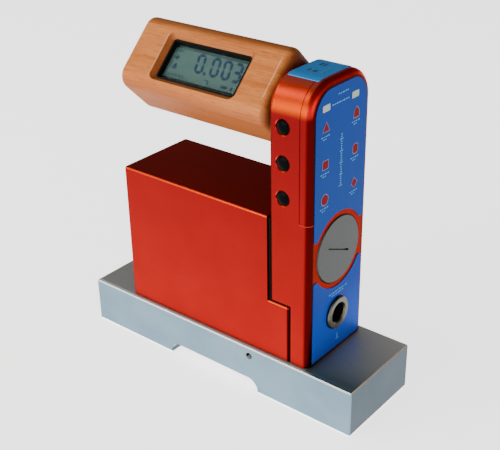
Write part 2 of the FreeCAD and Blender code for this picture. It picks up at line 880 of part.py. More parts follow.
def key_switches():
    """Three flat push switches with an open well for the key's stem."""
    shapes = []
    half = switch_size / 2
    for z in button_zs:
        case = box(button_x - half, button_x + half, board_face, switch_face, z - half, z + half)
        well = rod_y(stem_radius + run_gap, board_face + 0.2, switch_face + 1, button_x, z)
        shapes.append(case.cut(well))
    return group(shapes)


def carrier_screw_places():
    middle = button_zs[0] + carrier_screw_rise
    return [(side * carrier_screw_reach, middle) for side in (-1, 1)]


def key_carrier():
    """Plastic carrier: a web on the column's inner wall and two cheeks that hold the key boards."""
    outer = board_face - board_thickness
    low = button_zs[0] - carrier_foot
    high = button_zs[-1] + carrier_foot
    web_low = button_zs[0] + carrier_web_rise
    web = box(cavity_left, cavity_left + carrier_web, -outer, outer, web_low, web_low + carrier_web_height)
    cheek = box(cavity_left, cover_left - key_cover_gap, outer - carrier_wall, outer, low, high)
    carrier = fuse([web] + both_sides(cheek))
    holes = [rod_x(small_screw_radius + fit_gap, cavity_left - 1, cavity_left + carrier_web + 1, y, z)
             for y, z in carrier_screw_places()]
    return cut(carrier, holes)


def battery_sleeve():
    """Insulating sleeve for the cell, seated in the column and reaching into the housing."""
    front = column_left + sleeve_seat
    back = cell_back - sleeve_end - 1.2
    sleeve = tube_x(sleeve_outer, sleeve_inner, back, front, 0, cap_z)
    end = tube_x(sleeve_outer, cell_nub_radius, back, back + sleeve_end, 0, cap_z)
    return fuse([sleeve, end])


def rear_contact():
    """Sprung tongue that meets the cell's nub, with a tag through the sleeve's end."""
    floor = cell_back - 1.2
    disc = rod_x(cell_nub_radius + 2, floor, floor + 0.4, 0, cap_z)
    dome = Part.makeCone(cell_nub_radius - 0.5, 1.2, 1.2 - 0.4 - fit_gap, V(floor + 0.4, 0, cap_z), V(1, 0, 0))
    tag = box(floor - sleeve_end - 3, floor, -1.5, 1.5, cap_z - 0.3, cap_z + 0.3)
    return fuse([disc, dome, tag])


def battery_cell():
    can = rod_x(cell_radius, cell_back + cell_nub_length, cell_front, 0, cap_z)
    nub = rod_x(cell_nub_radius, cell_back, cell_back + cell_nub_length + 0.5, 0, cap_z)
    return fuse([can, nub])


def battery_cap():
    """Screw cap with a coin slot, a hollow threaded spigot and a guide for the contact."""
    flange = rod_x(cap_radius, cap_seat, cap_front, 0, cap_z)
    flange = flange.makeChamfer(cap_chamfer, edges_in_plane(flange, "X", cap_front))
    spigot = tube_x(cap_spigot_radius, cap_spigot_radius - cap_wall, cap_seat - cap_thread, cap_seat, 0, cap_z)
    guide = rod_x(plunger_stem + 1.6, cap_seat - guide_height, cap_seat, 0, cap_z)
    cap = fuse([flange, spigot, guide])
    slot = box(cap_front - slot_depth, cap_front + 1, -slot_length / 2, slot_length / 2,
               -slot_width / 2, slot_width / 2)
    slot.rotate(V(0, 0, 0), V(1, 0, 0), slot_turn)
    slot.translate(V(0, 0, cap_z))
    neck = tube_x(cap_radius, thread_radius - fit_gap - seal_width, cap_seat - seal_width - fit_gap,
                  cap_seat, 0, cap_z)
    bore = rod_x(plunger_stem + run_gap, cap_seat - 2, cap_seat + 0.4, 0, cap_z)
    return cut(cap, [slot, neck, bore])


def cap_seal():
    """Square-section seal in the neck under the cap's flange."""
    return tube_x(thread_radius - fit_gap, thread_radius - seal_width, cap_seat - seal_width, cap_seat, 0, cap_z)


plunger_face = cell_front + fit_gap
plunger_back = plunger_face + plunger_thickness


def contact_plunger():
    disc = rod_x(plunger_radius, plunger_face, plunger_back, 0, cap_z)
    stem = rod_x(plunger_stem, plunger_back, cap_seat + 0.2, 0, cap_z)
    return fuse([disc, stem])


def contact_spring():
    """Pair of dished spring washers between the contact and the cap, rim to rim."""
    low = plunger_back + fit_gap
    high = cap_seat - guide_height - run_gap
    middle = (low + high) / 2

    def half_section(x_hub, x_rim, lean):
        points = [V(x_hub, spring_bore, 0), V(x_rim, spring_radius, 0),
                  V(x_rim + lean, spring_radius, 0), V(x_hub + lean, spring_bore, 0)]
        return Part.Face(Part.makePolygon(points + [points[0]])).revolve(V(0, 0, 0), V(1, 0, 0), 360)

    washers = [half_section(low, middle - spring_sheet, spring_sheet),
               half_section(high, middle + spring_sheet, -spring_sheet)]
    for washer in washers:
        washer.translate(V(0, 0, cap_z))
    return group(washers)


socket_face = column_front + connector_flange_thickness - connector_socket_depth
insert_back = socket_face - insert_length
shell_back = column_foot_left + face_gap


def connector_shell():
    """Threaded metal shell whose flange shows round the socket."""
    flange = rod_x(connector_flange_radius, column_front, column_front + connector_flange_thickness, 0, connector_z)
    rim = edges_in_plane(flange, "X", column_front + connector_flange_thickness)
    flange = flange.makeChamfer(0.5, rim)
    barrel = rod_x(connector_radius, shell_back, column_front, 0, connector_z)
    shell = fuse([flange, barrel])
    bore = rod_x(connector_bore_radius, socket_face - 1, column_front + 3, 0, connector_z)
    seat = rod_x(insert_radius + fit_gap, shell_back - 1, socket_face, 0, connector_z)
    mouth_end = column_front + connector_flange_thickness
    mouth = Part.makeCone(connector_bore_radius, connector_bore_radius + 0.6, 0.6,
                          V(mouth_end - 0.6, 0, connector_z), V(1, 0, 0))
    return cut(shell, [bore, seat, mouth])


def contact_places():
    turns = [math.radians(90 + 360 * step / contact_count) for step in range(contact_count)]
    return [(contact_ring_radius * math.cos(turn), connector_z + contact_ring_radius * math.sin(turn))
            for turn in turns]


def connector_insert():
    core = rod_x(insert_radius, insert_back, socket_face, 0, connector_z)
    holes = [rod_x(contact_radius + fit_gap, insert_back - 1, socket_face + 1, y, z) for y, z in contact_places()]
    return cut(core, holes)


def connector_contacts():
    shapes = []
    for y, z in contact_places():
        pin = rod_x(contact_radius, insert_back - contact_tail, socket_face - 0.4, y, z)
        shapes.append(pin)
    return group(shapes)


def connector_nut():
    """Nut in the back of the column's foot that draws the shell's flange home."""
    return notched_nut(ring_nut_radius, connector_radius + fit_gap, ring_nut_seat - ring_nut_thickness,
                       ring_nut_seat, connector_z)


def clamp_post_places():
    return [(sensor_x + side * (bracket_length / 2 - 3), end * 7.0) for side in (-1, 1) for end in (-1, 1)]


clamp_screw_places = [(sensor_x + side * 4.5, end * clamp_screw_y) for side in (-1, 1) for end in (-1, 1)]


def sensor_bracket():
    """Cradle that stands on the base and holds the lower half of the sensor cell."""
    half = bracket_length / 2
    block = box(sensor_x - half, sensor_x + half, -bracket_half_width, bracket_half_width,
                base_height, sensor_z - face_gap)
    tools = [rod_x(sensor_radius + fit_gap, sensor_x - half - 1, sensor_x + half + 1, 0, sensor_z)]
    for x, y in clamp_screw_places:
        tools.append(rod_z(small_screw_radius + fit_gap, sensor_z - small_screw_length, sensor_z + 1, x, y))
    for x, y in clamp_post_places():
        tools.append(rod_z(small_screw_radius + fit_gap, base_height - 1, sensor_z, x, y))
        tools.append(rod_z(small_head_radius + run_gap, base_height + 2.5, sensor_z, x, y))
    return cut(block, tools)


def sensor_clamp():
    """Arched strap with two ears that holds the cell down in its cradle."""
    half = bracket_length / 2
    arch = tube_x(sensor_radius + clamp_thickness, sensor_radius + fit_gap, sensor_x - half, sensor_x + half,
                  0, sensor_z)
    arch = arch.common(box(sensor_x - half, sensor_x + half, -bracket_half_width, bracket_half_width,
                           sensor_z, sensor_z + 2 * sensor_radius))
    ear = box(sensor_x - half, sensor_x + half, sensor_radius + clamp_thickness / 2, bracket_half_width,
              sensor_z, sensor_z + clamp_ear)
    strap = fuse([arch] + both_sides(ear))
    holes = [rod_z(small_screw_radius + fit_gap, sensor_z - 1, sensor_z + clamp_ear + 1, x, y)
             for x, y in clamp_screw_places]
    return cut(strap, holes)


def small_screw(x, y, seat):
    return hexagon_screw((x, y, seat), (0, 0, -1), small_screw_length)


def internal_screws():
    """Identical small screws of the cradle, its clamp, the circuit board and the key carrier."""
    shapes = [small_screw(x, y, sensor_z + clamp_ear) for x, y in clamp_screw_places]
    shapes += [small_screw(x, y, base_height + 2.5) for x, y in clamp_post_places()]
    seat = base_height + board_post_height + main_board_thickness
    shapes += [small_screw(x, y, seat) for x, y in board_post_places()]
    for y, z in carrier_screw_places():
        shapes.append(hexagon_screw((cavity_left + carrier_web, y, z), (-1, 0, 0), carrier_web + wall - 0.8))
    return group(shapes)


def sensor_shell():
    half = sensor_length / 2
    return tube_x(sensor_radius, sensor_radius - sensor_wall, sensor_x - half, sensor_x + half, 0, sensor_z)


sensor_core = sensor_radius - sensor_wall - fit_gap
mass_half = flexure_thickness / 2 + flexure_gap + mass_plate
electrode_start = mass_half + electrode_gap


def mirrored_in_sensor(shape):
    return [shape, shape.mirror(V(sensor_x, 0, 0), V(1, 0, 0))]


def sensor_caps():
    """End plugs of the sensor cell, each with a wire bush."""
    end = sensor_x + sensor_length / 2
    plug = rod_x(sensor_core, sensor_x + electrode_start + electrode_thickness, end, 0, sensor_z)
    bush = rod_x(1.6, end, end + 1.2, 0, sensor_z)
    return group(mirrored_in_sensor(fuse([plug, bush])))


def sensor_electrodes():
    disc = rod_x(sensor_core, sensor_x + electrode_start, sensor_x + electrode_start + electrode_thickness,
                 0, sensor_z)
    return group(mirrored_in_sensor(disc))


def sensor_spacers():
    ring = tube_x(sensor_core, sensor_core - spacer_width, sensor_x + flexure_thickness / 2,
                  sensor_x + electrode_start, 0, sensor_z)
    return group(mirrored_in_sensor(ring))


def sensor_flexure():
    """Thin spring disc with three curved slots; its rim is clamped between the spacers."""
    low = sensor_x - flexure_thickness / 2
    high = sensor_x + flexure_thickness / 2
    disc = tube_x(sensor_core, mass_hub + flexure_gap, low, high, 0, sensor_z)
    slots = []
    for step in range(3):
        arc = Part.makeCylinder(5.6, 2, V(0, 0, 0), V(0, 0, 1), 150)
        arc = arc.cut(Part.makeCylinder(5.0, 2, V(0, 0, 0), V(0, 0, 1), 150))
        arc.translate(V(1.2, 0, 0))
        arc.rotate(V(0, 0, 0), V(0, 0, 1), 120 * step)
        arc.rotate(V(0, 0, 0), V(1, 1, 1), 120)
        arc.translate(V(low - 0.5, 0, sensor_z))
        slots.append(arc)
    return cut(disc, slots)


def sensor_mass():
    """Pendulum disc in two plates, joined by a hub through the flexure's middle."""
    inner = flexure_thickness / 2 + flexure_gap
    hub = rod_x(mass_hub, sensor_x - mass_half, sensor_x + mass_half, 0, sensor_z)
    plate = rod_x(mass_radius, sensor_x + inner, sensor_x + mass_half, 0, sensor_z)
    return fuse([hub] + mirrored_in_sensor(plate))


def board_post_places():
    xs = (board_left + board_post_inset, board_left + board_length - board_post_inset)
    reach = board_width / 2 - board_post_inset
    return [(x, side * reach) for x in xs for side in (-1, 1)]


def board_posts():
    shapes = []
    for x, y in board_post_places():
        post = rod_z(board_post_radius, base_height, base_height + board_post_height, x, y)
        hole = rod_z(small_screw_radius + fit_gap, base_height - 1, base_height + board_post_height + 1, x, y)
        shapes.append(post.cut(hole))
    return group(shapes)


board_top = base_height + board_post_height + main_board_thickness
header_x = board_left + board_length - header_inset


def main_board():
    bottom = base_height + board_post_height
    plate = box(board_left, board_left + board_length, -board_width / 2, board_width / 2, bottom, board_top)
    holes = [rod_z(small_screw_radius + fit_gap, bottom - 1, board_top + 1, x, y)
             for x, y in board_post_places()]
    return cut(plate, holes)


def board_components():
    """Processor, power converter, relay, two capacitors and the plug header on the main board."""
    middle = board_left + board_length / 2
    shapes = []
    for centre, length, width, height in (
        (middle, processor_size, processor_size, chip_height),
        (middle - board_length * 0.27, converter_size, converter_size, chip_height),
        (middle + board_length * 0.26, relay_length, relay_width, relay_height),
    ):
        shapes.append(box(centre - length / 2, centre + length / 2, -width / 2, width / 2,
                          board_top, board_top + height))
    for share in (0.27, 0.18):
        shapes.append(rod_z(capacitor_radius, board_top, board_top + capacitor_height,
                            middle - board_length * share, board_width / 2 - 1.2 * capacitor_radius))
    shapes.append(box(header_x - header_half_length, header_x + header_half_length,
                      -header_half_width, header_half_width, board_top, board_top + header_height))
    return group(shapes)


def harness_column_x():
    return column_left + wall + 0.6


def wiring_harness():
    """Flat cable from the key chamber through the column and the joint to the header on the main board."""
    half = harness_thickness / 2
    column_x = harness_column_x()
    drop_x = housing_right - wall - harness_drop_gap
    near = min(drop_x, header_x)
    far = max(drop_x, header_x)
    side = harness_y + harness_width / 2
    level = harness_z() - half
    landing = board_top + header_height
    runs = [
        box(column_x - half, column_x + half, side - harness_width, side, level, cavity_bottom + wall / 2),
        box(drop_x - half, column_x + half, side - harness_width, side, level, level + harness_thickness),
        box(drop_x - half, drop_x + half, side - harness_width, side, landing, level + half),
        box(drop_x - half, drop_x + half, -half, side, landing, landing + harness_width),
        box(near - half, far + half, -half, half, landing, landing + harness_width),
    ]
    return fuse(runs)


nodes = {
    "base": base,
    "base_screws": base_screws,
    "base_gasket": base_gasket,
    "sensor_housing": sensor_housing,
    "joint_seal": joint_seal,
    "column_body": column_body,
    "front_cover": front_cover,
    "cover_screws": cover_screws,
    "upper_label": upper_label,
    "lower_label": lower_label,
    "top_label": top_label,
    "handle_grip": handle_grip,
    "display_frame": display_frame,
    "display_window": display_window,
    "lcd_panel": lcd_panel,
    "contact_strips": contact_strips,
    "display_board": display_board,
    "display_lead": display_lead,
    "pivot_tube": pivot_tube,
    "flange_screws": flange_screws,
    "pivot_bush": pivot_bush,
    "friction_washer": friction_washer,
    "pivot_nut": pivot_nut,
    "stop_pin": stop_pin,
    "key_carrier": key_carrier,
    "battery_sleeve": battery_sleeve,
    "rear_contact": rear_contact,
    "battery_cell": battery_cell,
    "battery_cap": battery_cap,
    "cap_seal": cap_seal,
    "contact_plunger": contact_plunger,
    "contact_spring": contact_spring,
    "connector_shell": connector_shell,
    "connector_insert": connector_insert,
    "connector_contacts": connector_contacts,
    "connector_nut": connector_nut,
    "sensor_bracket": sensor_bracket,
    "sensor_clamp": sensor_clamp,
    "internal_screws": internal_screws,
    "sensor_shell": sensor_shell,
    "sensor_caps": sensor_caps,
    "sensor_electrodes": sensor_electrodes,
    "sensor_spacers": sensor_spacers,
    "sensor_flexure": sensor_flexure,
    "sensor_mass": sensor_mass,
    "board_posts": board_posts,
    "main_board": main_board,
    "board_components": board_components,
    "wiring_harness": wiring_harness,
}

for name, make in nodes.items():
    make().exportStep("parts/" + name + ".step")

for side_name, place in (("front", mirrored), ("rear", lambda shape: shape)):
    place(key_board()).exportStep("parts/" + side_name + "_key_board.step")
    place(key_switches()).exportStep("parts/" + side_name + "_key_switches.step")
    for number, z in enumerate(button_zs):
        place(button(z)).exportStep("parts/" + side_name + "_button_" + str(number + 1) + ".step")
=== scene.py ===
"""An electronic level on its steel base, dressed in studio light around the fixed frame.

Units are metres. +X runs along the base towards the battery cap, -Y faces the viewer, +Z is up.
"""
import json
import math

import bmesh
import bpy
from mathutils import Matrix, Vector


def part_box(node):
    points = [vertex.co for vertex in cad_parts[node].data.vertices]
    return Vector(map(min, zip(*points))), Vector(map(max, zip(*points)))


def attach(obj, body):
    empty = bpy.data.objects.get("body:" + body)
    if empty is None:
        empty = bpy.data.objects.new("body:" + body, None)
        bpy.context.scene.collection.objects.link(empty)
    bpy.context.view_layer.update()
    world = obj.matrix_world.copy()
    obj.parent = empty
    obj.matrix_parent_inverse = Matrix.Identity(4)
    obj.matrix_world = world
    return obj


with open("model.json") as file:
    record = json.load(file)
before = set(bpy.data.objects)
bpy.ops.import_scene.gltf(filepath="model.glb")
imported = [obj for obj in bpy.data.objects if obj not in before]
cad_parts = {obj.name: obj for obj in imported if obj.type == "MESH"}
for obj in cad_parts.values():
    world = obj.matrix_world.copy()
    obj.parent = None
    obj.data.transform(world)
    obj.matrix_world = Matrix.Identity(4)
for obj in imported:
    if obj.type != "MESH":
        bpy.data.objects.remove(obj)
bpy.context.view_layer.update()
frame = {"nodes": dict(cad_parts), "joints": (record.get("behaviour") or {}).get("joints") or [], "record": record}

MM = 0.001

# Gap between a printed mark and the surface that carries it
STAND_OFF = 0.03 * MM

# Camera, in the row frame
CAMERA_PLACE = Vector((245.56, -292.33, 266.47)) * MM
CAMERA_YAW = math.radians(39.47)
CAMERA_PITCH = math.radians(-27.63)
CAMERA_ROLL = math.radians(-1.03)
FOCAL_PIXELS = 969.29
PICTURE_WIDTH = 500
SENSOR_WIDTH = 36.0

# Studio lights: name, place, width and height, watts and colour
LIGHT_TARGET = (0, 0, 0.07)
LIGHTS = (
    ("key_light", (-0.35, -1.0, 0.3), (0.9, 0.4), 10.5, (1.0, 0.94, 0.84)),
    ("top_light", (-0.72, -0.5, 0.87), (0.6, 0.3), 3.5, (1.0, 0.95, 0.86)),
    ("right_light", (1.0, -0.25, 0.3), (0.5, 0.5), 1.6, (1.0, 1.0, 1.0)),
)

# The room, brightest towards one side and dimmer from the horizon upwards, and its floor
ROOM_BRIGHT_SIDE = (-0.55, -0.83, 0.0)
ROOM_BRIGHT = 1.6
ROOM_DARK = 0.3
ROOM_CEILING = 0.22
FLOOR_GLOW = 2.2
FLOOR_REACH = 6.0

# Roughness of every noise texture, and the factor that the wave texture puts on its own scale
NOISE_ROUGHNESS = 0.55
WAVE_FACTOR = 20

# Reach within which a mesh's points are welded, and the angle from which an edge stays crisp
WELD_REACH = 0.002 * MM
CREASE_ANGLE = math.radians(32)

# The base's top, in millimetres: half its width, the X where the end's painted shade across the bar starts,
# and the painted highlight on the ledge along each side, with the two X between which it fades; the share of metal
# there
BASE_HALF = 22.5
END_START = 50.0
LEDGE_START = 20.6
LEDGE_FADE = (48.0, 56.0)
TOP_METALLIC = 0.62

# Heights between which the red darkens by painted shade, and where the column's upper rounding starts, in
# millimetres
RED_RISE = (30.0, 130.0)
SHOULDER_FOOT = 133.4

# Heights between which the foil's painted shades of light change, in millimetres, and the place of each shade
FOIL_RISE = (20.0, 150.0)
FOIL_STOPS = (0.0, 0.25, 0.6, 1.0)

# Painted highlight lines up the grip's front, at the left edge of the window's bevel and at the start of the end
# rounding: the X of each, and how far it reaches down and up the front, in millimetres
EDGE_HIGHLIGHT_LINES = ((-32.9, -12.0, 9.5), (26.3, -9.0, 10.0))
EDGE_HIGHLIGHT_FADE = 1.5
EDGE_HIGHLIGHT_WIDTH = 0.35 * MM

# Outline of the labels on the column's face
LABEL_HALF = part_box("upper_label")[1].y
LABEL_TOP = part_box("upper_label")[1].z
LABEL_CORNER = 10.3 * MM

# Lowest and rearmost edges of the front cover and the painted highlight line under it, in millimetres
COVER_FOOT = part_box("front_cover")[0].z / MM
COVER_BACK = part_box("front_cover")[0].x / MM
GLINT_WIDTH = 0.35

# The turning grip, from its joint
GRIP_JOINT = next(joint for joint in frame["joints"] if joint["name"] == "handle_turn")
PIVOT_Z = GRIP_JOINT["pos_m"][2]
GRIP_TILT = math.radians(45)
GRIP_TURN = Matrix.Translation((0, 0, PIVOT_Z)) @ Matrix.Rotation(GRIP_TILT, 4, "X")


def srgb(red, green, blue):
    """Linear colour of an 8-bit screen colour."""
    def channel(value):
        share = value / 255
        return share / 12.92 if share <= 0.04045 else ((share + 0.055) / 1.055) ** 2.4
    return (channel(red), channel(green), channel(blue), 1.0)


def toned(colour, share, lift=0.0):
    """The colour made darker or lighter by a share and a lift."""
    return tuple(min(1.0, value * share + lift) for value in colour[:3]) + (1.0,)


class Finish:
    """A Principled material and the few node patterns that the finishes share."""

    def __init__(self, name, colour, roughness, metallic=0.0, coat=0.0, specular=0.5):
        self.material = bpy.data.materials.new(name)
        self.material.use_nodes = True
        self.nodes = self.material.node_tree.nodes
        self.links = self.material.node_tree.links
        self.shader = self.nodes["Principled BSDF"]
        self.put("Base Color", colour)
        self.put("Roughness", roughness)
        self.put("Metallic", metallic)
        self.put("Coat Weight", coat)
        self.put("Coat Roughness", 0.12)
        self.put("Specular IOR Level", specular)
        self.texture = self.nodes.new("ShaderNodeTexCoord")
        self.coordinates = self.texture.outputs["Object"]

    def put(self, socket, value):
        self.shader.inputs[socket].default_value = value

    def mapped(self, scale, offset=(0, 0, 0)):
        node = self.nodes.new("ShaderNodeMapping")
        node.inputs["Scale"].default_value = scale
        node.inputs["Location"].default_value = offset
        self.links.new(self.coordinates, node.inputs["Vector"])
        return node.outputs["Vector"]

    def noise(self, scale, detail=3.0, distortion=0.0):
        """Noise with its own number of features per metre along X, Y and Z."""
        node = self.nodes.new("ShaderNodeTexNoise")
        node.inputs["Scale"].default_value = 1.0
        node.inputs["Detail"].default_value = detail
        node.inputs["Roughness"].default_value = NOISE_ROUGHNESS
        node.inputs["Distortion"].default_value = distortion
        self.links.new(self.mapped(scale), node.inputs["Vector"])
        return node.outputs["Fac"]

    def cells(self, scale, randomness=1.0):
        """Rounded cells with their own number per metre along X, Y and Z."""
        node = self.nodes.new("ShaderNodeTexVoronoi")
        node.inputs["Scale"].default_value = 1.0
        node.inputs["Randomness"].default_value = randomness
        self.links.new(self.mapped(scale), node.inputs["Vector"])
        return node.outputs["Distance"]

    def rings(self, axis, pitch, centre, distortion=0.0):
        """Fine turned rings about an axis through centre."""
        node = self.nodes.new("ShaderNodeTexWave")
        node.wave_type = "RINGS"
        node.rings_direction = axis
        node.inputs["Scale"].default_value = math.tau / (WAVE_FACTOR * pitch)
        node.inputs["Distortion"].default_value = distortion
        node.inputs["Detail"].default_value = 2.0
        centred = self.mapped((1, 1, 1), offset=tuple(-value for value in centre))
        self.links.new(centred, node.inputs["Vector"])
        return node.outputs["Fac"]

    def facing(self, axis, start, end=1.0, sign=0):
        """Share by which the surface faces along an axis: one way or, with no sign, either way."""
        split = self.nodes.new("ShaderNodeSeparateXYZ")
        self.links.new(self.texture.outputs["Normal"], split.inputs["Vector"])
        size = self.nodes.new("ShaderNodeMath")
        size.operation = "MULTIPLY" if sign else "ABSOLUTE"
        size.inputs[1].default_value = sign
        self.links.new(split.outputs[axis], size.inputs[0])
        return self.spread(size.outputs["Value"], 0.0, 1.0, start=start, end=end)

    def rim(self, first_axis, second_axis):
        """1 on the chamfers between the faces of two axes."""
        return self.product(self.facing(first_axis, 0.4, 0.6), self.facing(second_axis, 0.4, 0.6))

    def math(self, operation, first, second=None):
        node = self.nodes.new("ShaderNodeMath")
        node.operation = operation
        for socket, value in zip(node.inputs, (first, second)):
            if isinstance(value, bpy.types.NodeSocket):
                self.links.new(value, socket)
            elif value is not None:
                socket.default_value = value
        return node.outputs["Value"]

    def product(self, first, second):
        return self.math("MULTIPLY", first, second)

    def place(self):
        """X, Y and Z of the point at rest, in metres."""
        split = self.nodes.new("ShaderNodeSeparateXYZ")
        self.links.new(self.coordinates, split.inputs["Vector"])
        return split.outputs["X"], split.outputs["Y"], split.outputs["Z"]

    def beyond(self, value, limit, soft=0.1):
        """0 below a limit in millimetres and 1 above it, over a soft width."""
        return self.spread(value, 0.0, 1.0, start=limit * MM, end=(limit + soft) * MM)

    def band(self, value, low, high, soft=0.1):
        """1 between two limits in millimetres, with a soft width inside each."""
        falling = self.spread(value, 1.0, 0.0, start=(high - soft) * MM, end=high * MM)
        return self.product(self.beyond(value, low, soft), falling)

    def spread(self, factor, low, high, start=0.0, end=1.0):
        """The factor's range from start to end, stretched onto low to high and clamped."""
        node = self.nodes.new("ShaderNodeMapRange")
        node.inputs["From Min"].default_value = start
        node.inputs["From Max"].default_value = end
        node.inputs["To Min"].default_value = low
        node.inputs["To Max"].default_value = high
        self.links.new(factor, node.inputs["Value"])
        return node.outputs["Result"]

    def ramp(self, factor, stops):
        node = self.nodes.new("ShaderNodeValToRGB")
        elements = node.color_ramp.elements
        while len(elements) < len(stops):
            elements.new(0.5)
        for element, (place, colour) in zip(elements, stops):
            element.position = place
            element.color = colour
        self.links.new(factor, node.inputs["Fac"])
        return node.outputs["Color"]

    def blend(self, factor, first, second, mode="MIX"):
        node = self.nodes.new("ShaderNodeMix")
        node.data_type = "RGBA"
        node.blend_type = mode
        sockets = (node.inputs[0], node.inputs[6], node.inputs[7])
        for socket, value in zip(sockets, (factor, first, second)):
            if isinstance(value, bpy.types.NodeSocket):
                self.links.new(value, socket)
            else:
                socket.default_value = value
        return node.outputs[2]

    def shaded(self, colour, shade, share=1.0):
        """The colour multiplied by a shade, wholly or in part."""
        return self.blend(share, colour, shade, "MULTIPLY")

    def colour(self, output):
        self.links.new(output, self.shader.inputs["Base Color"])

    def gloss(self, factor, low, high):
        self.links.new(self.spread(factor, low, high), self.shader.inputs["Roughness"])

    def relief(self, *layers):
        """Bump layers, each a height output with its depth in metres."""
        normal = None
        for height, depth in layers:
            node = self.nodes.new("ShaderNodeBump")
            node.inputs["Strength"].default_value = 1.0
            node.inputs["Distance"].default_value = depth
            self.links.new(height, node.inputs["Height"])
            if normal is not None:
                self.links.new(normal, node.inputs["Normal"])
            normal = node.outputs["Normal"]
        self.links.new(normal, self.shader.inputs["Normal"])


def ground_steel():
    """Ground along the bar: long fine lines and faint cloudy patches; painted shade darkens the ends."""
    finish = Finish("ground_steel", srgb(142, 154, 164), 0.36, metallic=1.0)
    lines = finish.noise((60, 5200, 5200), detail=4.0)
    patches = finish.noise((35, 50, 50), detail=3.0)
    tint = finish.ramp(patches, [(0.3, srgb(104, 130, 146)), (0.7, srgb(120, 144, 158))])
    streaks = finish.ramp(lines, [(0.3, (0.86, 0.86, 0.86, 1)), (0.7, (1, 1, 1, 1))])
    ground = finish.shaded(tint, streaks)
    # Painted shade: the end faces are darker to stand in for the shade on them
    end_shade = finish.shaded(ground, srgb(142, 144, 146))
    sides = finish.blend(finish.facing(0, 0.8), ground, end_shade)
    top = finish.facing(2, 0.8)
    x, y, _ = finish.place()
    # Painted light and shade across the top near the +X end: darker at the front edge, lighter towards the back
    across = finish.spread(y, 0.0, 1.0, start=-BASE_HALF * MM, end=BASE_HALF * MM)
    across = finish.ramp(across, [
        (0.1, srgb(96, 116, 118)), (0.45, srgb(180, 184, 180)), (1.0, srgb(240, 238, 230))])
    upper = finish.blend(finish.beyond(x, END_START, 1.0), srgb(172, 175, 174), across)
    steel = finish.blend(top, sides, finish.shaded(upper, streaks))
    # Painted highlight on the chamfers between the top and the ends
    end_rim_highlight = finish.rim(2, 0)
    steel = finish.blend(end_rim_highlight, steel, srgb(226, 200, 176))
    # Painted highlight on the side ledges of the top, fading towards the +X end, and on the chamfers between the
    # top and the sides
    ledge = finish.beyond(finish.math("ABSOLUTE", y), LEDGE_START)
    ledge = finish.product(ledge, finish.facing(2, 0.6, 0.8))
    fading = finish.spread(x, 1.0, 0.0, start=LEDGE_FADE[0] * MM, end=LEDGE_FADE[1] * MM)
    edges = finish.math("MAXIMUM", finish.rim(2, 1), finish.product(ledge, fading))
    finish.colour(finish.blend(edges, steel, srgb(226, 236, 240)))
    bright = finish.math("MAXIMUM", finish.math("MAXIMUM", edges, end_rim_highlight), top)
    finish.links.new(finish.spread(bright, 1.0, TOP_METALLIC), finish.shader.inputs["Metallic"])
    finish.gloss(lines, 0.34, 0.5)
    finish.relief((lines, 0.006 * MM))
    return finish.material


def label_rim(finish):
    """1 outside the outline that the two labels on the column's face share."""
    _, y, z = finish.place()
    across = finish.math("ABSOLUTE", y)
    over_y = finish.math("MAXIMUM", finish.math("SUBTRACT", across, LABEL_HALF - LABEL_CORNER), 0.0)
    over_z = finish.math("MAXIMUM", finish.math("SUBTRACT", z, LABEL_TOP - LABEL_CORNER), 0.0)
    square = finish.math("ADD", finish.math("POWER", over_y, 2.0), finish.math("POWER", over_z, 2.0))
    return finish.beyond(finish.math("SQRT", square), LABEL_CORNER / MM)


def red_anodised():
    """Red anodised metal with a fine blasted grain, painted shade on upright edges, painted highlights on level
    ones.
    """
    finish = Finish("red_anodised", srgb(140, 12, 6), 0.36, metallic=1.0)
    finish.put("Specular Tint", (0.95, 0.62, 0.58, 1))
    grain = finish.noise((2600, 2600, 2600), detail=3.0)
    cloud = finish.noise((45, 45, 45), detail=2.0)
    x, _, z = finish.place()
    # Painted shade: the red darkens higher up
    rise = finish.spread(z, 0.0, 1.0, start=RED_RISE[0] * MM, end=RED_RISE[1] * MM)
    low = finish.ramp(cloud, [(0.3, srgb(138, 16, 14)), (0.7, srgb(146, 19, 17))])
    red = finish.blend(rise, low, srgb(100, 12, 16))
    # Painted shade on the faces that look up and on those that look along +X
    red = finish.blend(finish.facing(2, 0.9, 0.98, sign=1), red, srgb(128, 2, 1))
    red = finish.blend(finish.facing(0, 0.9, 0.98, sign=1), red, srgb(110, 8, 1))
    # Painted highlight: warmer orange on the level roundings along the length
    level = finish.product(finish.facing(2, 0.05, 0.4), finish.facing(1, 0.3, 0.8))
    red = finish.blend(level, red, srgb(176, 52, 4))
    # Painted highlight and shade across the column's upper rounding, by how far it looks up
    shoulder_light = finish.ramp(finish.facing(2, 0.0, 1.0, sign=1), [
        (0.02, srgb(100, 12, 16)), (0.19, srgb(138, 44, 0)), (0.36, srgb(142, 44, 0)),
        (0.55, srgb(182, 54, 12)), (0.8, srgb(214, 60, 32)), (0.93, srgb(255, 110, 90)),
        (1.0, srgb(255, 96, 100))])
    shoulder = finish.product(finish.beyond(z, SHOULDER_FOOT), finish.facing(0, 0.5, 0.1))
    red = finish.blend(shoulder, red, shoulder_light)
    # Painted shade on the upright edges between the +X face and the sides
    upright = finish.product(finish.facing(0, 0.15, 0.5), finish.facing(1, 0.02, 0.3))
    red = finish.blend(upright, red, srgb(62, 4, 3))
    # Painted highlight on the crests between the +X face and the top
    painted_crest = finish.product(finish.facing(0, 0.15, 0.5), finish.facing(2, 0.02, 0.3))
    red = finish.blend(painted_crest, red, srgb(216, 34, 30))
    # Painted shade on the +X face around the labels
    label_border_shade = finish.product(label_rim(finish), finish.facing(0, 0.9, 0.98))
    red = finish.blend(label_border_shade, red, srgb(44, 3, 3))
    # Painted highlight line just under the front cover
    glint = finish.band(z, COVER_FOOT - GLINT_WIDTH, COVER_FOOT)
    glint = finish.product(glint, finish.beyond(x, COVER_BACK))
    finish.colour(finish.blend(glint, red, srgb(196, 66, 40)))
    finish.gloss(grain, 0.3, 0.42)
    finish.relief((grain, 0.004 * MM))
    return finish.material


